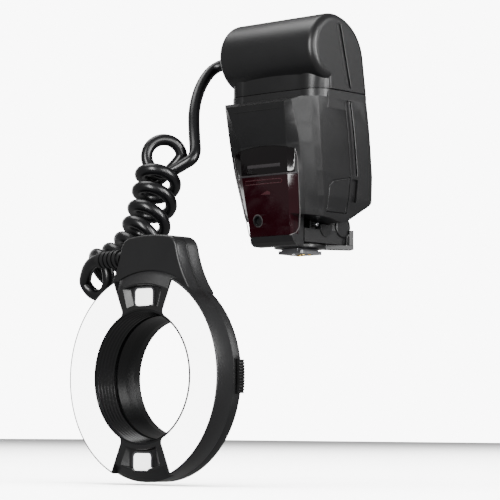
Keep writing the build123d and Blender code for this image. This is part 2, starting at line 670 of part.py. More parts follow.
def window_band(z0, z1, grow):
    w0 = 21.4
    w1 = 23.6
    edges = [
        Line((-w0 - grow, z0 - grow), (w0 + grow, z0 - grow)),
        Line((w0 + grow, z0 - grow), (w1 + grow, z1 + grow - 3.0)),
        ThreePointArc((w1 + grow, z1 + grow - 3.0), (0, z1 + grow), (-w1 - grow, z1 + grow - 3.0)),
        Line((-w1 - grow, z1 + grow - 3.0), (-w0 - grow, z0 - grow)),
    ]
    return make_face(edges)


window_skin = outer - body_solid(WINDOW_T)
recess_skin = outer - body_solid(WINDOW_T + 0.1)
upper_face = window_band(DIVIDER_Z + 0.5, WINDOW_TOP, 0)
lower_w0 = 17.2
lower_points = [(-lower_w0 + 2, 9.2), (lower_w0 - 2, 9.2), (lower_w0 + 1.8, 12.0), (lower_w0 + 3.2, 20.0), (23.0, DIVIDER_Z - 0.5),
                (-23.0, DIVIDER_Z - 0.5), (-lower_w0 - 3.2, 20.0), (-lower_w0 - 1.8, 12.0)]
lower_face = make_face(Polyline(*lower_points, close=True))
SENSOR_X = -8.3
SENSOR_Z = 18.1
SENSOR_R = 3.2
upper_window = window_skin & prism_y(upper_face, -60, -20)
lower_window = window_skin & prism_y(lower_face, -60, -20)
lower_window -= tube_y(SENSOR_X, SENSOR_Z, SENSOR_R, -60, 0)
recess = (recess_skin & prism_y(offset(upper_face, amount=0.12, kind=Kind.INTERSECTION), -60, -20))
recess += (recess_skin & prism_y(offset(lower_face, amount=0.12, kind=Kind.INTERSECTION), -60, -20))
body_front -= recess
sensor_tube = tube_y(SENSOR_X, SENSOR_Z, SENSOR_R - 0.3, -28.2, -23.0)
body_front -= tube_y(SENSOR_X, SENSOR_Z, SENSOR_R, -30, -20)
sensor = tube_y(SENSOR_X, SENSOR_Z, SENSOR_R - 0.1, -27.4, -23.6) - tube_y(SENSOR_X, SENSOR_Z, SENSOR_R - 0.9, -28, -25.4)
save("af_window_upper", upper_window)
save("af_window_lower", lower_window)
save("sensor_window", sensor)
body_front -= tube_y(0, 31.0, 2.2, -40, -20)
af_led = tube_y(0, 31.0, 1.9, -27.3, -20.0) + tube_y(0, 31.0, 2.8, -24.6, -20.0)
save("af_led", af_led)

# Socket cover on the right side with its hinge at the front, and the sockets behind it
COVER_Z0 = 22.5
COVER_Y0 = -12.0
COVER_Y1 = 4.8
cover_shape = [(COVER_Y0, COVER_Z0), (COVER_Y1, COVER_Z0), (COVER_Y1, 42.6), (COVER_Y0 + 2.5, 39.8), (COVER_Y0, 37.0)]
cover_grow = [(COVER_Y0 - 0.3, COVER_Z0 - 0.3), (COVER_Y1 + 0.3, COVER_Z0 - 0.3), (COVER_Y1 + 0.3, 42.95), (COVER_Y0 + 2.3, 40.15),
              (COVER_Y0 - 0.3, 37.2)]
right_half = box(20, 60, -60, 60, 0, 120)
cover_skin = outer - body_solid(1.3)
socket_cover = cover_skin & prism_x(cover_shape, 60) & right_half
body_front -= (outer - body_solid(1.4)) & prism_x(cover_grow, 60) & right_half
save("socket_cover", socket_cover)
socket_room = box(24, 40, -9, 3.5, 25, 37)
body_front -= socket_room
socket_block = box(24.3, 28.7, -8.6, 3.1, 25.4, 36.6) - tube_x(-4.6, 31, 1.75, 26, 40) - tube_x(0.2, 31, 1.25, 26, 40)
save("socket_block", socket_block)

# Finger slot behind the cover
slot = box(28, 40, 6.6, 11.6, 29, 42) & (outer - body_solid(1.6))
body_rear -= slot
body_front -= slot

# Head
RIB_TOP_Y = -10.0
RIB_SLOPE = 0.263


def head_solid(inset):
    r = HEAD_R - inset
    half = HEAD_HALF - inset
    soft = 4.6 - inset * 0.6
    barrel = tube_x(HEAD_Y, HEAD_Z, r, -half, half)
    barrel = fillet(barrel.edges().filter_by(GeomType.CIRCLE), soft)
    profile = [
        Line((-17 + inset, 70), (20.8 - inset, 70)),
        Line((20.8 - inset, 70), (14.2 - inset, 112)),
        TangentArc((14.2 - inset, 112), (HEAD_Y + r * 0.3, HEAD_Z + r * 0.9539), tangent=(-6.6, 42.0)),
        Line((HEAD_Y + r * 0.3, HEAD_Z + r * 0.9539), (-17 + inset, 112)),
        Line((-17 + inset, 112), (-17 + inset, 70)),
    ]
    face = Plane(origin=(-half, 0, 0), x_dir=(0, 1, 0), z_dir=(1, 0, 0)) * make_face(profile)
    block = extrude(face, amount=2 * half)
    ends = [e for e in block.edges() if abs(abs(e.center().X) - half) < 0.01]
    rear_edges = [e for e in ends if e.center().Y > 2 and e.center().Z > 71]
    block = fillet(rear_edges, soft)
    front_edges = [e for e in block.edges() if abs(abs(e.center().X) - half) < 0.01 and abs(e.center().Y + 17 - inset) < 0.01
                   and e.center().Z > 71]
    block = fillet(front_edges, 1.6)
    solid = barrel + block + (drum(80, 106, 0.3 + inset) & box(-60, 60, -60, -6, 0, 200))
    return solid - box(-60, 60, -60, 60, 60, NECK_BOTTOM)


head_outer = head_solid(0)
head_inner = head_solid(WALL) + (drum(85, 96, WALL + 0.3) & box(-60, 60, -60, 14, 0, 200))
head_shell = head_outer - head_inner


def rib_y(z):
    return RIB_TOP_Y + RIB_SLOPE * (130.0 - z)


head_groove = prism_x([(rib_y(93) - 1.6, 93), (rib_y(129) - 1.6, 129), (rib_y(129) + 1.6, 129), (rib_y(93) + 1.6, 93)], 60)
head_shell -= head_groove & (box(36.3, 60, -60, 60, 0, 200) + box(-60, -36.3, -60, 60, 0, 200))
head_front_side = prism_x([(rib_y(60), 60), (rib_y(150), 150), (-80, 150), (-80, 60)], 60)
HEAD_HOLE = 3.1
head_shell -= tube_x(HEAD_Y, HEAD_Z, HEAD_HOLE + 0.1, -60, -30)
head_front = head_shell & head_front_side
head_rear = head_shell - head_front_side
save("head_front_shell", head_front)
save("head_rear_shell", head_rear)
head_gland = tube_x(HEAD_Y, HEAD_Z, HEAD_HOLE, -HEAD_HALF, -HEAD_HALF + WALL) + tube_x(HEAD_Y, HEAD_Z, 4.6, HEAD_GLAND, -HEAD_HALF)
head_gland += tube_x(HEAD_Y, HEAD_Z, 4.4, -HEAD_HALF + WALL, -HEAD_HALF + WALL + 1.4)
save("head_cord_gland", head_gland)
collar = drum(BODY_TOP - 1.5, 95.8, WALL + 0.15 + 0.3) - drum(BODY_TOP - 3, 99, WALL + 2.2)
collar -= box(-60, 60, 13.8, 60, 0, 200) & drum(BODY_TOP - 3, 99)
save("neck_collar", collar)
capacitor = tube_x(HEAD_Y, HEAD_Z, 15.5, -27, 29)
capacitor = fillet(capacitor.edges().filter_by(GeomType.CIRCLE), 1.2)
capacitor += box(-20, -16, HEAD_Y - 17.3, HEAD_Y + 8, HEAD_Z - 4, HEAD_Z + 4) + box(16, 20, HEAD_Y - 17.3, HEAD_Y + 8, HEAD_Z - 4, HEAD_Z + 4)
save("main_capacitor", capacitor)

# Back panel frame: u runs to the right seen from behind, v runs up from height 45
BACK_TILT = radians(11.0)
BACK = Plane(origin=(0, rear_y(45), 45), x_dir=(-1, 0, 0), z_dir=(0, cos(BACK_TILT), sin(BACK_TILT)))


def back_block(face, u, v, low, high):
    return extrude(BACK.offset(low) * (Pos(u, v) * face), amount=high - low)


BUTTON_TRAVEL = 0.6
BUTTON_GAP = 0.25
FLANGE_TOP = -WALL - 0.15
STEM_END = -5.5
BOARD_TOP = -6.2
BOARD_BOTTOM = -7.5


def push_button(face, wide, u, v, proud):
    cap = back_block(face, u, v, -WALL - 0.2, proud)
    cap = fillet(cap.faces().sort_by(Axis.Y)[-1].edges(), 0.4)
    return cap + back_block(wide, u, v, FLANGE_TOP - 1.0, FLANGE_TOP) + back_block(Circle(1.6), u, v, STEM_END, FLANGE_TOP - 0.5)


back_cut = []
small = rounded(9, 4.6, 1.6)
small_wide = Rectangle(10.4, 6.0)
small_hole = rounded(9 + 2 * BUTTON_GAP, 4.6 + 2 * BUTTON_GAP, 1.6 + BUTTON_GAP)
ROW_V = 18.6
ROW = {"mode_button": -21.0, "sync_button": -7.0, "ratio_button": 7.0, "backlight_button": 21.0}
for name, u in ROW.items():
    save(name, push_button(small, small_wide, u, ROW_V, 1.0))
    back_cut.append(back_block(small_hole, u, ROW_V, -4, 2))
TEST_U, TEST_V = -19.0, 8.6
save("test_button", push_button(Circle(3.6), Circle(4.4), TEST_U, TEST_V, 0.9))
back_cut.append(back_block(Circle(3.6 + BUTTON_GAP), TEST_U, TEST_V, -4, 2))

DIAL_U, DIAL_V = 12.0, 5.6
DIAL_R = 8.2
dial = back_block(Circle(DIAL_R), DIAL_U, DIAL_V, -1.1, 1.6)
dial = chamfer(dial.faces().sort_by(Axis.Y)[-1].edges(), 0.5)
dial += back_block(Circle(5.4), DIAL_U, DIAL_V, -4.4, -1.0)
dial -= back_block(Circle(4.4), DIAL_U, DIAL_V, -9, 4)
save("select_dial", dial)
save("set_button", back_block(Circle(3.2), DIAL_U, DIAL_V, -0.9, 1.1) + back_block(Circle(1.6), DIAL_U, DIAL_V, STEM_END, -0.5))
back_cut.append(back_block(Circle(DIAL_R + 0.3), DIAL_U, DIAL_V, -1.3, 4))
back_cut.append(back_block(Circle(5.5), DIAL_U, DIAL_V, -6, 4))

SWITCH_U, SWITCH_V = -17.0, -1.6
SWITCH_TRAVEL = 4.0
switch = back_block(rounded(5.4, 4.2, 1.0), SWITCH_U - SWITCH_TRAVEL / 2, SWITCH_V, -WALL - 0.9, 1.0)
for k in (-1, 0, 1):
    switch -= back_block(Rectangle(0.5, 5), SWITCH_U - SWITCH_TRAVEL / 2 + 1.3 * k, SWITCH_V, 0.6, 3)
switch += back_block(Rectangle(9.6, 6.4), SWITCH_U - SWITCH_TRAVEL / 2, SWITCH_V, -WALL - 1.8, -WALL - 0.8)
save("power_switch", switch)
back_cut.append(back_block(rounded(5.4 + SWITCH_TRAVEL + 0.5, 4.7, 1.2), SWITCH_U, SWITCH_V, -4, 2))

LCD_V = 29.8
save("lcd_window", back_block(rounded(46, 15.6, 2.0), 0, LCD_V, -1.2, 0.15))
back_cut.append(back_block(rounded(46.2, 15.8, 2.1), 0, LCD_V, -1.3, 2))
back_cut.append(back_block(rounded(41, 12.4, 1.0), 0, LCD_V, -6, 2))
save("lcd_module", back_block(Rectangle(40.4, 11.8), 0, LCD_V, -2.4, -1.3) + back_block(Rectangle(43, 14), 0, LCD_V, BOARD_TOP, -2.3))
board = back_block(Rectangle(58, 42.5), 0, 16.6, BOARD_BOTTOM, BOARD_TOP)
for u, v in ((-24, -8.5), (24, -8.5)):
    board -= back_block(Circle(3.4), u, v, -9, -4)
save("main_circuit_board", board)
for cut in back_cut:
    body_rear -= cut

case_screws = []
for x in (-24.0, 24.0):
    z = 36.0
    y = rear_y(z)
    body_rear += tube_y(x, z, 2.8, 17.0, y - 1.2)
    body_rear -= tube_y(x, z, 1.2, 16.0, y + 1) + tube_y(x, z, 2.3, y - 1.5, y + 2)
    screw = tube_y(x, z, 1.1, 18.0, y - 1.4) + tube_y(x, z, 2.1, y - 1.5, y - 0.3)
    screw -= box(x - 1.3, x + 1.3, y - 0.9, y, z - 0.3, z + 0.3) + box(x - 0.3, x + 0.3, y - 0.9, y, z - 1.3, z + 1.3)
    case_screws.append(screw)
save("case_screws", case_screws[0] + case_screws[1:])

# Battery bay on the left, its door hinges at the lower edge
DOOR_T = 1.8
DOOR_Y0, DOOR_Y1 = -14.0, 12.0
DOOR_Z0, DOOR_Z1 = 41.6, 74.0
HINGE_X, HINGE_Z = -32.9, 41.2
left_half = box(-60, -20, -60, 60, 0, 120)
door = (outer - body_solid(DOOR_T)) & box(-60, -20, DOOR_Y0, DOOR_Y1, DOOR_Z0, DOOR_Z1)
door += extrude(Plane(origin=(HINGE_X, DOOR_Y1 - 0.3, HINGE_Z), x_dir=(1, 0, 0), z_dir=(0, -1, 0)) * Circle(1.2),
                amount=DOOR_Y1 - DOOR_Y0 - 0.6)
door += tube_y(HINGE_X, HINGE_Z, 0.6, DOOR_Y0 - 1.5, DOOR_Y1 + 1.5)
for k in range(5):
    door -= box(-60, -34.4 - 0.09 * k, -7, 5, 66.6 + 1.2 * k, 67.1 + 1.2 * k) & (outer - body_solid(0.45))
opening = box(-60, -28, DOOR_Y0 - 0.3, DOOR_Y1 + 0.3, DOOR_Z0 - 0.3, DOOR_Z1 + 0.3)
opening += box(-60, HINGE_X, DOOR_Y0 - 0.3, DOOR_Y1 + 0.3, HINGE_Z - 1.6, DOOR_Z0) + tube_y(HINGE_X, HINGE_Z, 1.5, DOOR_Y0 - 0.3, DOOR_Y1 + 0.3)
pin_hole = tube_y(HINGE_X, HINGE_Z, 0.67, DOOR_Y0 - 1.7, DOOR_Y1 + 1.7)
body_front -= opening + pin_hole
body_rear -= opening + pin_hole
save("battery_door", door)
save("body_front_shell", body_front)
save("body_rear_shell", body_rear)

CELL_R = 7.2
CELL_PITCH = 14.8
BAY_Y, BAY_Z = -1.6, 57.4
BAY_X0, BAY_X1 = -30.4, 21.8
bay = box(BAY_X0, BAY_X1, BAY_Y - 16, BAY_Y + 16, BAY_Z - 16, BAY_Z + 16)
bay -= box(BAY_X0 - 1, BAY_X1 - 1.2, BAY_Y - 14.8, BAY_Y + 14.8, BAY_Z - 14.8, BAY_Z + 14.8)
save("battery_box", bay)
cells = []
plates = []
springs = []
for i in (-1, 1):
    for j in (-1, 1):
        y = BAY_Y + i * CELL_PITCH / 2
        z = BAY_Z + j * CELL_PITCH / 2
        low, high = (-30.3, 18.9) if i == j else (-29.2, 20.0)
        cell = tube_x(y, z, CELL_R, low, high)
        cell = fillet(cell.edges().filter_by(GeomType.CIRCLE), 0.5)
        cell += tube_x(y, z, 2.7, high, high + 1.1) if i == j else tube_x(y, z, 2.7, low - 1.1, low)
        cells.append(cell)
for j in (-1, 1):
    z = BAY_Z + j * CELL_PITCH / 2
    plates.append(box(20.05, 20.55, BAY_Y - 13.5, BAY_Y + 13.5, z - 5, z + 5))
save("batteries", cells[0] + cells[1:])
save("battery_contacts", plates[0] + plates[1:])
save("door_contact_plate", box(-32.6, -31.3, -10, 8, 47.5, 68) - (outer - body_solid(DOOR_T)))

# Base block, foot, locking lever and contacts
BASE_HALF = 17.0
BASE_Y0, BASE_Y1 = -15.2, 22.0
BASE_Z0, BASE_Z1 = 6.0, 13.6
HUB_R = 8.0
PLATE_TOP = 3.2
base = box(-BASE_HALF, BASE_HALF, BASE_Y0, BASE_Y1, BASE_Z0, BASE_Z1)
base = fillet(base.edges().filter_by(Axis.Z).sort_by(Axis.Y)[-2:], 5)
base += tube_z(0, 0, HUB_R, PLATE_TOP, BASE_Z0)
column = box(-9, 9, 6, BASE_Y1, BASE_Z1 - 1, 32) + tube_z(-9, 14, 8, BASE_Z1 - 1, 32) + tube_z(9, 14, 8, BASE_Z1 - 1, 32)
shoulder = box(-13.4, 13.4, -7, 8, BASE_Z1 - 1, 30)
base += (column + shoulder) - outer - box(-60, 60, -60, 60, 27.8, 60)
LOCK_Y0, LOCK_Y1 = -2.0, 7.6
LOCK_BOTTOM = 9.8


def lock_face(grow):
    r = (LOCK_Y1 - LOCK_Y0) / 2 + grow
    mid = (LOCK_Y0 + LOCK_Y1) / 2
    top = 16.6
    low = LOCK_BOTTOM + r
    edges = [Line((mid - r, top + grow), (mid - r, low)), ThreePointArc((mid - r, low), (mid, low - r), (mid + r, low)),
             Line((mid + r, low), (mid + r, top + grow)), Line((mid + r, top + grow), (mid - r, top + grow))]
    return make_face(edges)


def lock_block(grow, x0, x1):
    return extrude(Plane(origin=(x0, 0, 0), x_dir=(0, 1, 0), z_dir=(1, 0, 0)) * lock_face(grow), amount=x1 - x0)


base -= lock_block(0.3, 13.0, 20) + lock_block(0.3, 13.0, 20).moved(Location((0, 0, 1)))
base -= tube_x((LOCK_Y0 + LOCK_Y1) / 2, 14, 1.8, 11.6, 14)
save("foot_release_button", lock_block(0, 14.4, 17.6) + tube_x((LOCK_Y0 + LOCK_Y1) / 2, 14, 1.5, 13.3, 14.5))
base += tube_x(-4.7, 16.2, 1.1, 13.0, 16.8)
pins = [(0, 0, 1.2), (-4.4, 3.4, 0.8), (4.4, 3.4, 0.8), (-4.4, -2.2, 0.8), (4.4, -2.2, 0.8)]
foot = box(-9.3, 9.3, -9, 9, 0, 2.0) + box(-6.2, 6.2, -9, 9, 2.0, PLATE_TOP)
foot = chamfer(foot.edges().filter_by(Axis.Z).sort_by(lambda e: -abs(e.center().X))[:4], 0.8)
pin_cuts = tube_z(0, -5.6, 1.3, -1, 8.6)
for x, y, r in pins:
    pin_cuts += tube_z(x, y, r + 0.1, -1, 5.4)
foot -= pin_cuts
base -= pin_cuts
save("foot_plate", foot)
save("base_block", base)
contacts = [tube_z(x, y, r, -0.6, 4.4) for x, y, r in pins]
save("contact_pins", contacts[0] + contacts[1:])
save("lock_pin", fillet(tube_z(0, -5.6, 1.2, -1.0, 6.6).edges().sort_by(Axis.Z)[:1], 0.5))
TAB_ANGLE = 56.0
LEVER_Z0, LEVER_Z1 = 3.4, 5.8
lever = tube_z(0, 0, 15.0, LEVER_Z0, LEVER_Z1) - tube_z(0, 0, HUB_R + 0.08, LEVER_Z0 - 1, LEVER_Z1 + 1)
arm = Rot(0, 0, TAB_ANGLE) * (box(12, 31.4, -4.4, 4.4, LEVER_Z0, LEVER_Z1))
lever += arm
lever -= tube_z(0, 0, 40, 0, 9) - tube_z(0, 0, 31.2, -1, 10)
tab_ring = tube_z(0, 0, 31.2, LEVER_Z1, 14.6) - tube_z(0, 0, 28.7, LEVER_Z1 - 1, 16)
tab = tab_ring & (Rot(0, 0, TAB_ANGLE) * box(20, 40, -3.6, 3.6, 0, 20))
save("lock_lever", lever + tab)
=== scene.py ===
import bpy
from math import sin, cos, radians, pi, sqrt, floor
from mathutils import Vector, Matrix


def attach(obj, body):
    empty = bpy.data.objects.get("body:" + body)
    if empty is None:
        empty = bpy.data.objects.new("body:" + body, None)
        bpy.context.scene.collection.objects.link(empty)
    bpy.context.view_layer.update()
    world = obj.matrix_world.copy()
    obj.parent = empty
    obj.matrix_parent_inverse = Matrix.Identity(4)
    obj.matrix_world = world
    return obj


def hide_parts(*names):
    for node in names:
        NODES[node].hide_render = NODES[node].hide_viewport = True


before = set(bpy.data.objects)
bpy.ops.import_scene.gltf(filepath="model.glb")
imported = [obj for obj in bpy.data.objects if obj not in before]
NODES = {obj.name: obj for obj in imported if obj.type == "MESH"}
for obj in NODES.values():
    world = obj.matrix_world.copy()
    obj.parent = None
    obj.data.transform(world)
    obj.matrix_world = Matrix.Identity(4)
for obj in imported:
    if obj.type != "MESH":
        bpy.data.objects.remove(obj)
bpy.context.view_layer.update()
BODY = "flash"
MM = 0.001

# Sizes shared with the CAD source, in mm
RING_FRONT_Y = -127.0
RING_Z = -73.0
CORD_D = 6.8
GLAND_Y = -118.4
GLAND_Z = -8.5
GLAND_MOUTH = -42.5
HEAD_Y = -12.0
HEAD_Z = 115.0
HEAD_HALF = 37.0
HEAD_GLAND = -42.0


# Materials
def linear(code):
    out = []
    for k in (0, 2, 4):
        c = int(code[k:k + 2], 16) / 255
        out.append(c / 12.92 if c <= 0.04045 else ((c + 0.055) / 1.055) ** 2.4)
    return (*out, 1.0)


def add(tree, kind, **values):
    node = tree.nodes.new(kind)
    for key, value in values.items():
        if key in node.inputs:
            node.inputs[key].default_value = value
        else:
            setattr(node, key, value)
    return node


def material(name, colour, rough, metal=0.0, grain=0.06, grain_mm=0.5, mottle=0.03, coat=0.0,
             ior=1.5, glow=0.0, trans=0.0, shade=0.08, depth_mm=0.04):
    m = bpy.data.materials.new(name)
    m.use_nodes = True
    tree = m.node_tree
    shader = tree.nodes["Principled BSDF"]
    shader.inputs["Metallic"].default_value = metal
    shader.inputs["IOR"].default_value = ior
    shader.inputs["Coat Weight"].default_value = coat
    shader.inputs["Coat Roughness"].default_value = 0.05
    shader.inputs["Transmission Weight"].default_value = trans
    # A glow given here is painted light, an emission that brightens a white part.
    if glow:
        shader.inputs["Emission Color"].default_value = linear(colour)
        shader.inputs["Emission Strength"].default_value = glow
    place = tree.nodes.new("ShaderNodeTexCoord")
    cloud = add(tree, "ShaderNodeTexNoise", Scale=55.0, Detail=4.0, Roughness=0.6)
    tree.links.new(place.outputs["Object"], cloud.inputs["Vector"])
    tint = tree.nodes.new("ShaderNodeValToRGB")
    base = linear(colour)
    tint.color_ramp.elements[0].position = 0.3
    tint.color_ramp.elements[0].color = (*[c * (1 - shade) for c in base[:3]], 1)
    tint.color_ramp.elements[1].position = 0.7
    tint.color_ramp.elements[1].color = (*[min(c * (1 + shade), 1) for c in base[:3]], 1)
    tree.links.new(cloud.outputs["Fac"], tint.inputs["Fac"])
    tree.links.new(tint.outputs["Color"], shader.inputs["Base Color"])
    spread = tree.nodes.new("ShaderNodeMapRange")
    spread.inputs["To Min"].default_value = max(rough - mottle, 0.02)
    spread.inputs["To Max"].default_value = rough + mottle
    tree.links.new(cloud.outputs["Fac"], spread.inputs["Value"])
    tree.links.new(spread.outputs["Result"], shader.inputs["Roughness"])
    noise = add(tree, "ShaderNodeTexNoise", Scale=1000.0 / grain_mm, Detail=3.0, Roughness=0.55)
    tree.links.new(place.outputs["Object"], noise.inputs["Vector"])
    bump = add(tree, "ShaderNodeBump", Strength=grain, Distance=depth_mm * MM)
    tree.links.new(noise.outputs["Fac"], bump.inputs["Height"])
    tree.links.new(bump.outputs["Normal"], shader.inputs["Normal"])
    return m


CASE = material("satin_black_abs", "111112", 0.37, grain=0.35, grain_mm=0.45, mottle=0.05)
CASE_DARK = material("matt_black_abs", "0c0c0d", 0.5, grain=0.4, grain_mm=0.4)
BUTTON = material("grey_button_abs", "2a2a2c", 0.45, grain=0.2)
BUTTON_DARK = material("dark_button_abs", "0d0d0e", 0.34, grain=0.2)
TEETH = material("black_pom_button", "0a0a0b", 0.4)
# Painted glow: emission makes the unlit white diffusers read bright white.
DIFFUSER_PAINTED_GLOW = material("frosted_white_acrylic_painted_glow", "fbfbfb", 0.45, glow=6.0)
# Painted glow: emission makes the white lamp windows read bright white.
LAMP_WINDOW_PAINTED_GLOW = material("opal_lamp_window_painted_glow", "f6f6f6", 0.35, glow=2.4)
BLACK_GLASS = material("black_window_acrylic", "060304", 0.12)
RED_GLASS = material("dark_red_window_acrylic", "1c0207", 0.13)
# Raised strips and a mark on the windows, coloured lighter than the window glass.
WINDOW_STRIP_LIGHTER = material("lighter_window_strip", "2c292b", 0.4)
RED_STRIP_LIGHTER = material("lighter_red_strip", "3c1a20", 0.35)
RUBBER = material("cord_pvc_black", "08080a", 0.3, grain=0.08, grain_mm=0.8, mottle=0.04)
GLAND = material("gland_rubber", "0c0c0d", 0.42)
BAFFLE = material("black_anodised_light_trap", "0b0b0c", 0.2)
ADAPTER = material("black_anodised_adapter", "0a0a0b", 0.35, metal=0.2)
BEZEL = material("dark_grey_lamp_frame", "2c2c2e", 0.42)
# Painted highlight: light grey for the rims round the windows and the sensor, where their bevels catch the
# light.
RIM_PAINTED_HIGHLIGHT = material("grey_rim_painted_highlight", "4a4747", 0.25)
STEEL = material("bright_steel", "c9c9cc", 0.26, metal=1.0)
FOOT = material("brushed_steel_foot", "8a8a8d", 0.38, metal=1.0, mottle=0.08)
BRASS = material("gold_plated_contact", "d8b45c", 0.25, metal=1.0)
TROUGH = material("polished_aluminium_trough", "e6e6e8", 0.12, metal=1.0)
TUBE = material("clear_quartz_tube", "e9eceb", 0.05, trans=0.9, ior=1.46)
BOARD = material("green_solder_mask", "1e5a34", 0.4)
CELL = material("cell_sleeve", "22303c", 0.25, coat=0.4)
SLEEVE = material("capacitor_sleeve", "1b1c20", 0.3, coat=0.3)
LCD = material("lcd_glass", "7f8a80", 0.08, coat=0.8)
LCD_DARK = material("lcd_segment_ink", "20261f", 0.3)
FLOOR = material("pale_floor", "ffffff", 0.9, shade=0.0)

PAINT = {
    CASE: ["ring_front_housing", "ring_rear_housing", "body_front_shell", "body_rear_shell",
           "head_front_shell", "head_rear_shell", "battery_door", "socket_cover"],
    CASE_DARK: ["neck_collar", "base_block", "battery_box", "socket_block"],
    BUTTON: ["mode_button", "sync_button", "ratio_button", "backlight_button", "test_button", "set_button"],
    BUTTON_DARK: ["sensor_window", "select_dial", "power_switch", "foot_release_button", "lock_lever"],
    TEETH: ["release_button_left", "release_button_right"],
    DIFFUSER_PAINTED_GLOW: ["diffuser_left", "diffuser_right"],
    LAMP_WINDOW_PAINTED_GLOW: ["lamp_windows"],
    BEZEL: ["lamp_bezels"],
    BLACK_GLASS: ["af_window_upper"],
    RED_GLASS: ["af_window_lower", "af_led"],
    LCD: ["lcd_window"],
    GLAND: ["ring_cord_gland", "head_cord_gland"],
    RUBBER: ["cord_upper_run", "cord_curls"],
    BAFFLE: ["bore_baffle"],
    ADAPTER: ["adapter_ring"],
    STEEL: ["release_spring_left", "release_spring_right", "latch_plate_left", "latch_plate_right",
            "ring_screws", "case_screws", "lock_pin"],
    FOOT: ["foot_plate"],
    TROUGH: ["reflector_left", "reflector_right"],
    TUBE: ["flash_tube_left", "flash_tube_right"],
    BOARD: ["ring_circuit_board", "main_circuit_board", "lcd_module", "focus_lamps"],
    BRASS: ["contact_pins", "battery_contacts", "door_contact_plate"],
    CELL: ["batteries"],
    SLEEVE: ["main_capacitor"],
}
SOFT_EDGES = {
    "ring_front_housing": 0.35, "ring_rear_housing": 0.35, "head_front_shell": 0.3, "head_rear_shell": 0.3,
    "battery_door": 0.25, "socket_cover": 0.25, "base_block": 0.5, "af_window_upper": 0.25,
    "af_window_lower": 0.3, "foot_plate": 0.2, "lock_lever": 0.3, "power_switch": 0.2,
    "foot_release_button": 0.3, "release_button_left": 0.12, "release_button_right": 0.12,
    "lamp_bezels": 0.2, "diffuser_left": 0.25, "diffuser_right": 0.25, "select_dial": 0.12,
}
ROUND_EDGES = {"body_front_shell": 1.3, "body_rear_shell": 0.8, "neck_collar": 0.6}
SOFT_ANGLE = 34
ROUND_ANGLE = 16
ROUND_SEGMENTS = 4


def soften(piece, width_mm, angle=SOFT_ANGLE, segments=2):
    weld = piece.modifiers.new("weld", "WELD")
    weld.merge_threshold = 0.00002
    bevel = piece.modifiers.new("soft_edge", "BEVEL")
    bevel.width = width_mm * MM
    bevel.segments = segments
    bevel.limit_method = "ANGLE"
    bevel.angle_limit = radians(angle)
    bevel.harden_normals = False
    bevel.use_clamp_overlap = True
    return piece


for paint, names in PAINT.items():
    for name in names:
        piece = NODES[name]
        piece.data.materials.clear()
        piece.data.materials.append(paint)
for name, width in SOFT_EDGES.items():
    soften(NODES[name], width)
for name, width in ROUND_EDGES.items():
    soften(NODES[name], width, ROUND_ANGLE, ROUND_SEGMENTS)


# Small builders
def mesh_piece(name, verts, faces, paint, body=BODY, smooth=False):
    data = bpy.data.meshes.new(name)
    data.from_pydata([tuple(v) for v in verts], [], faces)
    data.update()
    data.materials.append(paint)
    if smooth:
        data.polygons.foreach_set("use_smooth", [True] * len(data.polygons))
        data.set_sharp_from_angle(angle=radians(35))
    piece = bpy.data.objects.new(name, data)
    bpy.context.scene.collection.objects.link(piece)
    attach(piece, body)
    return piece


def prism(outline, origin, right, up, out, low, high):
    verts = []
    for level in (low, high):
        for x, y in outline:
            verts.append((Vector(origin) + right * x + up * y + out * level) * MM)
    n = len(outline)
    faces = [tuple(range(n - 1, -1, -1)), tuple(range(n, 2 * n))]
    for k in range(n):
        faces.append((k, (k + 1) % n, n + (k + 1) % n, n + k))
    return verts, faces


# The cord: one spline on the same route as the CAD source
SIDE_WAY = Vector((0.734, 0.679, 0))
UP_WAY = Vector((0, 0, 1))
NEAR_WAY = Vector((0.679, -0.734, 0))
CURL_CENTRES = [(-56.9, -57.4, 53.0), (-54.7, -61.5, 42.1), (-52.9, -65.9, 31.0), (-51.5, -71.5, 19.0),
                (-50.4, -78.0, 8.2), (-50.2, -86.5, -2.3), (-51.6, -96.5, -9.6), (-54.6, -106.2, -14.2),
                (-49.2, -123.1, -20.1)]
TILT = [0, 1, 9, 19, 30, 40, 50, 66, 90]
LEAN = radians(27)
CURL_R = 10.6
CURL_START = 0.5
CURL_END = 7.5
WIDER_BY = 1.4
WIDER_FROM = 6.8
WIDER_OVER = 0.7
LOOP_CENTRE = Vector((-54.7, -56.7, 56.0))
LOOP_R = 10.2
LOOP_NEAR = 3.4
LOOP_FAR = -6.2
LOOP_FROM = -60
LOOP_SWEEP = 300
LOOP_STEP = 20
PER_TURN = 16
FOLD_LENGTH = 9
CORD_END = Vector((-49.3, GLAND_Y, GLAND_Z))


def between(values, n):
    i = int(min(max(floor(n), 0), len(values) - 2))
    f = n - i
    p = [values[min(max(k, 0), len(values) - 1)] for k in (i - 1, i, i + 1, i + 2)]
    if i == 0:
        p[0] = p[1] * 2 - p[2]
    if i == len(values) - 2:
        p[3] = p[2] * 2 - p[1]
    return (p[1] * 2 + (p[2] - p[0]) * f + (p[0] * 2 - p[1] * 5 + p[2] * 4 - p[3]) * f * f
            + (p[1] * 3 - p[0] - p[2] * 3 + p[3]) * f * f * f) * 0.5


def curl_point(n):
    tilt = radians(between(TILT, n))
    axis = (UP_WAY * cos(tilt) + SIDE_WAY * sin(tilt)) * -cos(LEAN) + NEAR_WAY * sin(LEAN)
    c = (NEAR_WAY - axis * NEAR_WAY.dot(axis)).normalized()
    r = c.cross(axis)
    radius = CURL_R + WIDER_BY * min(max((n - WIDER_FROM) / WIDER_OVER, 0), 1)
    centre = between([Vector(p) for p in CURL_CENTRES], n)
    return centre + (c * cos(2 * pi * n) + r * sin(2 * pi * n)) * radius


def loop_point(phi):
    k = (LOOP_FROM - phi) / LOOP_SWEEP
    near = LOOP_NEAR * (1 - k) + LOOP_FAR * k
    a = radians(phi)
    return LOOP_CENTRE + (SIDE_WAY * cos(a) + UP_WAY * sin(a)) * LOOP_R + NEAR_WAY * near


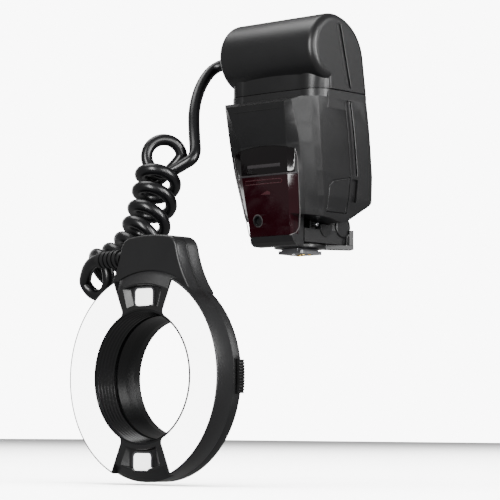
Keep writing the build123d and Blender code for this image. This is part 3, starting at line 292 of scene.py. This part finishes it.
start_way = (loop_point(LOOP_FROM - 0.5) - loop_point(LOOP_FROM + 0.5)).normalized()
LEAD = loop_point(LOOP_FROM) - start_way * CORD_D
FOLD = LEAD - start_way * FOLD_LENGTH
route = [Vector((HEAD_GLAND, HEAD_Y, HEAD_Z)), Vector((-56.0, HEAD_Y, HEAD_Z)),
         Vector((-56.8, -24.0, 103.0)), Vector((-52.0, -35.5, 86.0)), Vector((-45.5, -41.5, 69.0)),
         FOLD, LEAD]
route += [loop_point(LOOP_FROM - LOOP_STEP * k) for k in range(LOOP_SWEEP // LOOP_STEP + 1)]
CURL_STEPS = int((CURL_END - CURL_START) * PER_TURN)
route += [curl_point(CURL_START + k / PER_TURN) for k in range(CURL_STEPS + 1)]
route += [CORD_END, Vector((GLAND_MOUTH, GLAND_Y, GLAND_Z))]

curve = bpy.data.curves.new("curled_cord", "CURVE")
curve.dimensions = "3D"
spline = curve.splines.new("NURBS")
spline.points.add(len(route) - 1)
for point, place in zip(spline.points, route):
    point.co = (*(place * MM), 1.0)
spline.order_u = 3
spline.use_endpoint_u = True
curve.bevel_depth = CORD_D / 2 * MM
curve.bevel_resolution = 7
curve.resolution_u = 6
curve.use_fill_caps = True
curve.materials.append(RUBBER)
cord = bpy.data.objects.new("curled_cord", curve)
bpy.context.scene.collection.objects.link(cord)
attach(cord, BODY)
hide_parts("cord_upper_run", "cord_curls")

# Skins of the CAD solids, to lay fine trim on, in mm
OUTLINE = [
    (3.0, 15.0, -25.0, 20.6, -20.0, 25.4, -13.6, 27.6, -11.6, 28.8, 24.0),
    (14.0, 15.5, -26.2, 22.0, -21.0, 26.6, -15.0, 28.8, -12.8, 30.0, 26.5),
    (24.0, 16.2, -27.9, 23.7, -22.6, 28.0, -16.6, 30.3, -14.1, 31.4, 28.6),
    (31.0, 16.8, -29.0, 24.7, -24.0, 29.4, -18.6, 31.9, -15.9, 33.0, 29.8),
    (45.0, 17.7, -31.0, 26.0, -27.6, 30.8, -21.7, 33.3, -19.0, 34.4, 28.54),
    (60.0, 17.7, -32.2, 26.5, -31.0, 31.7, -25.0, 34.6, -21.9, 35.6, 25.62),
    (71.0, 19.8, -35.6, 26.2, -33.6, 32.1, -26.6, 35.2, -23.5, 36.3, 23.48),
    (92.0, 24.0, -41.9, 24.9, -39.0, 32.8, -30.0, 35.9, -26.6, 36.8, 19.4),
]


def outline_at(z):
    for low_row, high_row in zip(OUTLINE[:-1], OUTLINE[1:]):
        if z <= high_row[0] or high_row is OUTLINE[-1]:
            f = (z - low_row[0]) / (high_row[0] - low_row[0])
            row = [a + (b - a) * f for a, b in zip(low_row, high_row)][1:]
            return list(zip(row[0::2], row[1::2]))


def front_skin(x, z, lift):
    corners = outline_at(z)
    side = 1 if x >= 0 else -1
    reach = abs(x)
    if reach <= corners[0][0]:
        return Vector((x, corners[0][1] - lift, z))
    (xa, ya), (xb, yb) = corners[0], corners[1]
    if reach > xb:
        (xa, ya), (xb, yb) = corners[1], corners[2]
    f = (reach - xa) / (xb - xa)
    out = Vector((yb - ya, -(xb - xa), 0)).normalized() * lift
    return Vector((side * (reach + out.x), ya + (yb - ya) * f + out.y, z))


def side_skin(y, z, lift, side=1):
    corners = outline_at(z)
    (xa, ya), (xb, yb) = corners[3], corners[4]
    return Vector((side * (xa + (xb - xa) * (y - ya) / (yb - ya) + lift), y, z))


def head_skin(y, z, lift, side=1):
    return Vector((side * (HEAD_HALF + lift), y, z))


TILT_BACK = radians(11.0)
BACK_OUT = Vector((0, cos(TILT_BACK), sin(TILT_BACK)))
BACK_UP = Vector((0, -sin(TILT_BACK), cos(TILT_BACK)))
BACK_AT = Vector((0, 28.54, 45.0))


def back_skin(u, v, lift):
    return BACK_AT + Vector((-u, 0, 0)) + BACK_UP * v + BACK_OUT * lift


def trim_section(lift, sink):
    return [(-sink, -1), (lift * 0.6, -1), (lift, -0.55), (lift, 0.55), (lift * 0.6, 1), (-sink, 1)]


def trim_line(name, skin, path, width, lift, paint, body=BODY, closed=False, sink=0.3):
    count = len(path)
    verts = []
    for k, point in enumerate(path):
        before = path[k - 1] if k or closed else point
        after = path[(k + 1) % count] if k < count - 1 or closed else point
        along = (Vector(after) - Vector(before)).normalized()
        off = Vector((-along.y, along.x)) * width / 2
        for level, side in trim_section(lift, sink):
            verts.append(skin(point[0] + off.x * side, point[1] + off.y * side, level) * MM)
    faces = []
    for k in range(count if closed else count - 1):
        a = 6 * k
        b = 6 * ((k + 1) % count)
        for i in range(6):
            j = (i + 1) % 6
            faces.append((a + i, a + j, b + j, b + i))
    if not closed:
        faces.append(tuple(range(5, -1, -1)))
        faces.append(tuple(6 * (count - 1) + i for i in range(6)))
    return mesh_piece(name, verts, faces, paint, body)


def plate_on(name, skin, outline, lift, paint, sink=0.3):
    verts = [skin(x, z, level) * MM for level in (-sink, lift) for x, z in outline]
    n = len(outline)
    faces = [tuple(range(n - 1, -1, -1)), tuple(range(n, 2 * n))]
    faces += [(k, (k + 1) % n, n + (k + 1) % n, n + k) for k in range(n)]
    return mesh_piece(name, verts, faces, paint, BODY)


def stretch(a, b, steps):
    return [(a[0] + (b[0] - a[0]) * k / steps, a[1] + (b[1] - a[1]) * k / steps) for k in range(steps + 1)]


# Windows on the front: divider, lighter raised bars, mark
DIVIDER_Z = 43.4
divider = stretch((-22.6, DIVIDER_Z), (22.6, DIVIDER_Z), 24)
trim_line("window_divider", front_skin, divider, 1.0, 0.3, WINDOW_STRIP_LIGHTER)
upper_bar = stretch((-12.6, 48.6), (12.4, 48.6), 4)
trim_line("upper_window_bar", front_skin, upper_bar, 1.9, 0.25, WINDOW_STRIP_LIGHTER)
bar_edge = [(-15.0, 38.6), (12.2, 38.6), (12.9, 39.7), (12.2, 40.8), (-15.0, 40.8)]
trim_line("lower_window_bar", front_skin, bar_edge, 0.45, 0.22, RED_STRIP_LIGHTER, closed=True)
mark_edge = [(-4.2, 32.6), (3.2, 32.4), (3.0, 33.9), (1.0, 34.6)]
plate_on("window_mark", front_skin, mark_edge, 0.12, RED_STRIP_LIGHTER)


# Parting ribs on both ends of body and head
def head_rib_y(z):
    return -10.0 + 0.263 * (130.0 - z)


def end_ribs(side, word):
    def skin(y, z, lift):
        return side_skin(y, z, lift, side)

    def skin_head(y, z, lift):
        return head_skin(y, z, lift, side)

    for part, shift_low, shift_high, wide in (("front", 5.4, -3.1, 0.8), ("rear", 11.4, 2.6, 1.3)):
        path = stretch((shift_low, 43.6), (shift_high, 85.0), 12)
        trim_line("body_rib_" + part + "_" + word, skin, path, wide, 0.35, CASE)
    for part, off, wide in (("front", -1.9, 0.7), ("rear", 1.9, 1.0)):
        path = stretch((head_rib_y(94.5) + off, 94.5), (head_rib_y(129.0) + off, 129.0), 6)
        trim_line("head_rib_" + part + "_" + word, skin_head, path, wide, 0.3, CASE)


end_ribs(1, "right")
end_ribs(-1, "left")

# Seam lips on the sides of the tower of the ring
TOWER_ARC = (77.758, 81.489, 57.621)
LIP_Y = RING_FRONT_Y + 11.6
LIP_FOOT = 47.5


def tower_side(sign):
    def skin(y, v, lift):
        reach = TOWER_ARC[0] - sqrt(TOWER_ARC[2] ** 2 - (v - TOWER_ARC[1]) ** 2)
        out = Vector((TOWER_ARC[0] - reach, TOWER_ARC[1] - v)).normalized() * lift
        return Vector((sign * (reach + out.x), y, RING_Z + v + out.y))
    return skin


for sign, word, lip_head, steps in ((1, "right", 70.0, 14), (-1, "left", 56.0, 8)):
    seam_path = stretch((LIP_Y, LIP_FOOT), (LIP_Y, lip_head), steps)
    trim_line("tower_seam_lip_" + word, tower_side(sign), seam_path, 0.7, 0.25, CASE)


# Base: side bosses, rear guard along the sweep of the lever, stud heads
def turned(name, at, axis, profile, paint, body=BODY, count=48):
    axis = Vector(axis).normalized()
    side = axis.orthogonal().normalized()
    up = axis.cross(side)
    rows = len(profile)
    verts = []
    for k in range(count):
        a = 2 * pi * k / count
        out = side * cos(a) + up * sin(a)
        verts += [(Vector(at) + axis * w + out * r) * MM for r, w in profile]
    near_end = tuple(rows * k for k in range(count - 1, -1, -1))
    far_end = tuple(rows * k + rows - 1 for k in range(count))
    faces = [near_end, far_end]
    for k in range(count):
        a, b = rows * k, rows * ((k + 1) % count)
        faces += [(a + i, b + i, b + i + 1, a + i + 1) for i in range(rows - 1)]
    return mesh_piece(name, verts, faces, paint, body, smooth=True)


BOSS_AT = (10.5, 17.6, 16.4)
BOSS_R = 6.3
boss_edge = [(BOSS_R, 0.0), (BOSS_R, 6.9), (BOSS_R - 0.15, 7.3), (BOSS_R - 0.5, 7.5)]
boss_edge += [(BOSS_R - 1.0, 7.5), (BOSS_R - 1.2, 7.2)]
for sign, word in ((1, "right"), (-1, "left")):
    at = (BOSS_AT[0] * sign, BOSS_AT[1], BOSS_AT[2])
    turned("base_boss_" + word, at, (sign, 0, 0), boss_edge, CASE)
GUARD_R = 28.0
GUARD_FROM = 53
GUARD_FRONT = 19.0
GUARD_LOW = 6.2
GUARD_HIGH = 12.6
X_WAY = Vector((1, 0, 0))
Y_WAY = Vector((0, 1, 0))
guard_half = GUARD_R * cos(radians(GUARD_FROM))
guard = [(-guard_half, GUARD_FRONT)]
guard += [(-GUARD_R * cos(radians(a)), GUARD_R * sin(radians(a))) for a in range(GUARD_FROM, 128, 5)]
guard += [(guard_half, GUARD_FRONT)]
guard_verts, guard_faces = prism(guard, (0, 0, 0), X_WAY, Y_WAY, UP_WAY, GUARD_LOW, GUARD_HIGH)
soften(mesh_piece("base_rear_guard", guard_verts, guard_faces, CASE_DARK, BODY), 0.6)
STUD_EDGE = [(0.95, 0.0), (0.95, 0.5), (0.6, 0.75)]
turned("base_stud_front", (16.7, -4.7, 16.2), (1, 0, 0), STUD_EDGE, STEEL, count=24)
REAR_STUD_EDGE = [(0.6, -1.8), (0.6, 0.4), (0.35, 0.6)]
turned("base_stud_rear", (14.9, -1.6, 17.2), (1, 0, 0), REAR_STUD_EDGE, STEEL, count=24)

# Knurled edge of the dial on the back
DIAL_AT = back_skin(12.0, 5.6, 0.0)
DIAL_RIGHT = Vector((-1, 0, 0))
KNURLS = 48
KNURL_N = 2 * KNURLS
KNURL_FOOT = 8.02
KNURL_TIP = 8.36
KNURL_BORE = 7.4
KNURL_LEVELS = (-0.4, 1.05)
knurl_verts = []
for w in KNURL_LEVELS:
    for radii in ((KNURL_FOOT, KNURL_TIP), (KNURL_BORE, KNURL_BORE)):
        for k in range(KNURL_N):
            a = pi * k / KNURLS
            r = radii[k % 2]
            spot = DIAL_AT + DIAL_RIGHT * (r * cos(a)) + BACK_UP * (r * sin(a)) + BACK_OUT * w
            knurl_verts.append(spot * MM)
inner, top, inner_top = KNURL_N, 2 * KNURL_N, 3 * KNURL_N
knurl_faces = []
for k in range(KNURL_N):
    m = (k + 1) % KNURL_N
    knurl_faces.append((k, m, top + m, top + k))
    knurl_faces.append((inner + m, inner + k, inner_top + k, inner_top + m))
    knurl_faces.append((top + k, top + m, inner_top + m, inner_top + k))
    knurl_faces.append((m, k, inner + k, inner + m))
mesh_piece("dial_knurl", knurl_verts, knurl_faces, BUTTON_DARK, "select_dial")

# Rims of windows, sensor and socket cover, and the step under the top of the panel
# The window rims are light grey strips: painted highlight on the bevels round the windows.
RIM_RIGHT = [(23.75, 55.2), (23.9, 50.0), (23.4, DIVIDER_Z), (22.2, 33.0), (20.9, 21.0), (19.6, 13.4),
             (17.9, 10.3), (15.0, 8.9)]
for sign, word in ((1, "right"), (-1, "left")):
    edge = [(x * sign, z) for x, z in RIM_RIGHT]
    trim_line("window_rim_highlight_" + word, front_skin, edge, 0.45, 0.22, RIM_PAINTED_HIGHLIGHT)
SENSOR_AT = (-8.3, 18.1)
SENSOR_RIM_R = 3.35
SENSOR_STEPS = 32
# The sensor rim is a light grey ring: painted highlight on the bevel round the sensor.
rim_path = []
for k in range(SENSOR_STEPS):
    a = 2 * pi * k / SENSOR_STEPS
    rim_path.append((SENSOR_AT[0] + SENSOR_RIM_R * cos(a), SENSOR_AT[1] + SENSOR_RIM_R * sin(a)))
trim_line("sensor_rim_highlight", front_skin, rim_path, 0.5, 0.25, RIM_PAINTED_HIGHLIGHT, closed=True)
trim_line("panel_step", front_skin, stretch((-17.4, 79.6), (17.4, 79.6), 4), 0.7, 0.16, CASE)
COVER_EDGE = [(-11.4, 23.1), (4.2, 23.1), (4.2, 41.8), (-9.2, 39.2), (-11.4, 36.8)]
trim_line("socket_cover_rim", side_skin, COVER_EDGE, 0.6, 0.18, CASE, "socket_cover",
          closed=True)

# Repeats made by Geometry Nodes, then turned into plain meshes
def new_tree(name, sockets):
    tree = bpy.data.node_groups.new(name, "GeometryNodeTree")
    keys = {}
    for label, kind, default in sockets:
        socket = tree.interface.new_socket(name=label, in_out="INPUT", socket_type=kind)
        if default is not None:
            socket.default_value = default
        keys[label] = socket.identifier
    tree.interface.new_socket(name="Geometry", in_out="OUTPUT", socket_type="NodeSocketGeometry")
    enter = tree.nodes.new("NodeGroupInput")
    leave = tree.nodes.new("NodeGroupOutput")
    return tree, keys, enter, leave


def finish_tree(tree, shape, enter, leave):
    real = tree.nodes.new("GeometryNodeRealizeInstances")
    paint = tree.nodes.new("GeometryNodeSetMaterial")
    tree.links.new(shape, real.inputs["Geometry"])
    tree.links.new(real.outputs["Geometry"], paint.inputs["Geometry"])
    tree.links.new(enter.outputs["Material"], paint.inputs["Material"])
    tree.links.new(paint.outputs["Geometry"], leave.inputs["Geometry"])


def ridge_tree():
    sockets = [("Count", "NodeSocketInt", 8), ("Pitch", "NodeSocketVector", (0, 0, 0.002)),
               ("Size", "NodeSocketVector", (0.001, 0.01, 0.001)), ("Material", "NodeSocketMaterial", None)]
    tree, keys, enter, leave = new_tree("ridge_row", sockets)
    line = tree.nodes.new("GeometryNodeMeshLine")
    block = tree.nodes.new("GeometryNodeMeshCube")
    spread = tree.nodes.new("GeometryNodeInstanceOnPoints")
    tree.links.new(enter.outputs["Count"], line.inputs["Count"])
    tree.links.new(enter.outputs["Pitch"], line.inputs["Offset"])
    tree.links.new(enter.outputs["Size"], block.inputs["Size"])
    tree.links.new(line.outputs["Mesh"], spread.inputs["Points"])
    tree.links.new(block.outputs["Mesh"], spread.inputs["Instance"])
    finish_tree(tree, spread.outputs["Instances"], enter, leave)
    return tree, keys


def thread_tree():
    sockets = [("Turns", "NodeSocketFloat", 4.0), ("Radius", "NodeSocketFloat", 0.0335),
               ("Rise", "NodeSocketFloat", 0.003), ("Crest", "NodeSocketFloat", 0.0003),
               ("Material", "NodeSocketMaterial", None)]
    tree, keys, enter, leave = new_tree("screw_thread", sockets)
    spiral = add(tree, "GeometryNodeCurveSpiral", Resolution=96)
    profile = add(tree, "GeometryNodeCurvePrimitiveCircle", Resolution=4)
    sweep = tree.nodes.new("GeometryNodeCurveToMesh")
    sweep.inputs["Fill Caps"].default_value = True
    tree.links.new(enter.outputs["Turns"], spiral.inputs["Rotations"])
    tree.links.new(enter.outputs["Radius"], spiral.inputs["Start Radius"])
    tree.links.new(enter.outputs["Radius"], spiral.inputs["End Radius"])
    tree.links.new(enter.outputs["Rise"], spiral.inputs["Height"])
    tree.links.new(enter.outputs["Crest"], profile.inputs["Radius"])
    tree.links.new(spiral.outputs["Curve"], sweep.inputs["Curve"])
    tree.links.new(profile.outputs["Curve"], sweep.inputs["Profile Curve"])
    finish_tree(tree, sweep.outputs["Mesh"], enter, leave)
    return tree, keys


def grown(name, tree_keys, values, place, body):
    tree, keys = tree_keys
    seed = bpy.data.objects.new(name + "_seed", bpy.data.meshes.new(name + "_seed"))
    bpy.context.scene.collection.objects.link(seed)
    modifier = seed.modifiers.new(name, "NODES")
    modifier.node_group = tree
    for label, value in values.items():
        modifier[keys[label]] = value
    bpy.context.view_layer.update()
    graph = bpy.context.evaluated_depsgraph_get()
    data = bpy.data.meshes.new_from_object(seed.evaluated_get(graph), depsgraph=graph)
    data.transform(place)
    data.name = name
    bpy.data.objects.remove(seed)
    piece = bpy.data.objects.new(name, data)
    bpy.context.scene.collection.objects.link(piece)
    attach(piece, body)
    return piece


RIDGES = ridge_tree()
DOOR_LOW = side_skin(-2.0, 46.0, 0.1, -1)
DOOR_HIGH = side_skin(-2.0, 60.0, 0.1, -1)
door_up = (DOOR_HIGH - DOOR_LOW).normalized()
door_back = (side_skin(8.0, 50.0, 0.1, -1) - side_skin(-8.0, 50.0, 0.1, -1)).normalized()
door_out = door_up.cross(door_back).normalized()
door_place = Matrix((door_out, door_back, door_up)).transposed().to_4x4()
door_place.translation = DOOR_LOW * MM
DOOR_RIDGES = {"Count": 7, "Pitch": (0.0, 0.0, 0.0022), "Size": (0.0008, 0.013, 0.0009), "Material": CASE}
grown("door_grip_ridges", RIDGES, DOOR_RIDGES, door_place, "battery_door")

THREAD_DEPTH = 26.9
thread_place = Matrix.Translation((0, (RING_FRONT_Y + THREAD_DEPTH) * MM, RING_Z * MM))
thread_place = thread_place @ Matrix.Rotation(-pi / 2, 4, "X")
THREAD = {"Turns": 4.0, "Radius": 0.03352, "Rise": 0.0028, "Crest": 0.0003, "Material": ADAPTER}
grown("adapter_thread", thread_tree(), THREAD, thread_place, "adapter_ring")

# Numbers on the display
SEGMENTS = {"0": "abcdef", "1": "bc", "5": "afgcd", "6": "afgedc", "/": "s"}
STROKES = {"a": (0, 2, 1, 2), "b": (1, 1, 1, 2), "c": (1, 0, 1, 1), "d": (0, 0, 1, 0),
           "e": (0, 0, 0, 1), "f": (0, 1, 0, 2), "g": (0, 1, 1, 1), "s": (0, 0, 1, 2)}
LETTER_WIDTH = 0.5
LETTER_STEP = 1.7
STROKE_WIDTH = 0.055
STROKE_GAP = 1.15


def digits(name, text, u, v, height, paint, body, lift):
    width = height * LETTER_WIDTH
    thick = height * STROKE_WIDTH
    quads = []
    for index, letter in enumerate(text):
        for stroke in SEGMENTS.get(letter, ""):
            ax, ay, bx, by = STROKES[stroke]
            a = Vector((u + index * width * LETTER_STEP + ax * width, v + ay * height / 2))
            b = Vector((u + index * width * LETTER_STEP + bx * width, v + by * height / 2))
            along = (b - a).normalized()
            off = Vector((-along.y, along.x)) * thick
            a += along * thick * STROKE_GAP
            b -= along * thick * STROKE_GAP
            quads.append([a - off, b - off, b + off, a + off])
    verts = []
    faces = []
    for quad in quads:
        base = len(verts)
        verts += [back_skin(p.x, p.y, lift) * MM for p in quad]
        verts += [back_skin(p.x, p.y, lift - 0.05) * MM for p in quad]
        faces += [(base, base + 1, base + 2, base + 3), (base + 7, base + 6, base + 5, base + 4)]
        faces += [(base + k, base + 4 + k, base + 4 + (k + 1) % 4, base + (k + 1) % 4) for k in range(4)]
    return mesh_piece(name, verts, faces, paint, body)


digits("display_number", "1/16", -18.0, 27.0, 6.0, LCD_DARK, BODY, 0.34)
digits("display_small_number", "50", 8.0, 28.0, 3.4, LCD_DARK, BODY, 0.34)

# Camera as in the picture
CAM_AT = Vector((0.864065, -0.977322, -0.102743))
YAW, PITCH, ROLL = radians(42.745), radians(4.618), radians(0.429)
level = Vector((-sin(YAW), cos(YAW), 0))
across = Vector((cos(YAW), sin(YAW), 0))
ahead = level * cos(PITCH) + Vector((0, 0, 1)) * sin(PITCH)
above = Vector((0, 0, 1)) * cos(PITCH) - level * sin(PITCH)
right = across * cos(ROLL) + above * sin(ROLL)
top = above * cos(ROLL) - across * sin(ROLL)
lens = bpy.data.cameras.new("camera")
lens.lens = 163.62
lens.sensor_width = 36.0
lens.clip_start = 0.05
lens.dof.use_dof = False
camera = bpy.data.objects.new("camera", lens)
bpy.context.scene.collection.objects.link(camera)
turn = Matrix((right, top, -ahead)).transposed().to_4x4()
turn.translation = CAM_AT
camera.matrix_world = turn
bpy.context.scene.camera = camera

# Floor and studio light
world = bpy.data.worlds.new("studio")
bpy.context.scene.world = world
world.use_nodes = True
air = world.node_tree
backdrop = air.nodes["Background"]
backdrop.inputs["Color"].default_value = (1, 1, 1, 1)
backdrop.inputs["Strength"].default_value = 9.0
room = add(air, "ShaderNodeBackground", Color=(1, 1, 1, 1), Strength=0.3)
ray = air.nodes.new("ShaderNodeLightPath")
either = air.nodes.new("ShaderNodeMixShader")
air.links.new(ray.outputs["Is Camera Ray"], either.inputs["Fac"])
air.links.new(room.outputs["Background"], either.inputs[1])
air.links.new(backdrop.outputs["Background"], either.inputs[2])
air.links.new(either.outputs["Shader"], air.nodes["World Output"].inputs["Surface"])

floor = bpy.data.meshes.new("floor")
FLOOR_Z = -0.1305
FLOOR_HALF = 6
corners = [(-1, -1), (1, -1), (1, 1), (-1, 1)]
floor.from_pydata([(x * FLOOR_HALF, y * FLOOR_HALF, FLOOR_Z) for x, y in corners], [], [(0, 1, 2, 3)])
floor.materials.append(FLOOR)
ground = bpy.data.objects.new("floor", floor)
bpy.context.scene.collection.objects.link(ground)
ground.visible_diffuse = False
ground.visible_glossy = False


def softbox(name, at, aim, width, height, power):
    data = bpy.data.lights.new(name, "AREA")
    data.shape = "RECTANGLE"
    data.size = width
    data.size_y = height
    data.energy = power
    box = bpy.data.objects.new(name, data)
    bpy.context.scene.collection.objects.link(box)
    box.location = at
    box.rotation_euler = (Vector(aim) - Vector(at)).to_track_quat("-Z", "Y").to_euler()
    return box


softbox("front_strip", (0.2, -1.5, 0.25), (0, -0.06, 0.02), 0.35, 1.1, 30)
softbox("beside_camera", (1.35, -0.7, 0.25), (0, -0.04, 0.02), 0.4, 0.9, 12)
softbox("right_strip", (1.5, 0.02, 0.3), (0, -0.04, 0.02), 0.22, 1.2, 34)
softbox("top_left", (-0.6, -0.2, 1.35), (0, -0.05, 0.05), 1.0, 0.8, 12)
softbox("rear_right", (1.2, 0.9, 0.7), (0, -0.02, 0.05), 0.3, 0.8, 6)
softbox("left_side", (-1.35, 0.35, 0.25), (0, -0.1, -0.05), 0.4, 0.9, 2.5)
wash = softbox("floor_wash", (0, 0, 2.2), (0, 0, -0.13), 4.0, 4.0, 700)
lit_floor = bpy.data.collections.new("lit_floor")
lit_floor.objects.link(ground)
wash.light_linking.receiver_collection = lit_floor
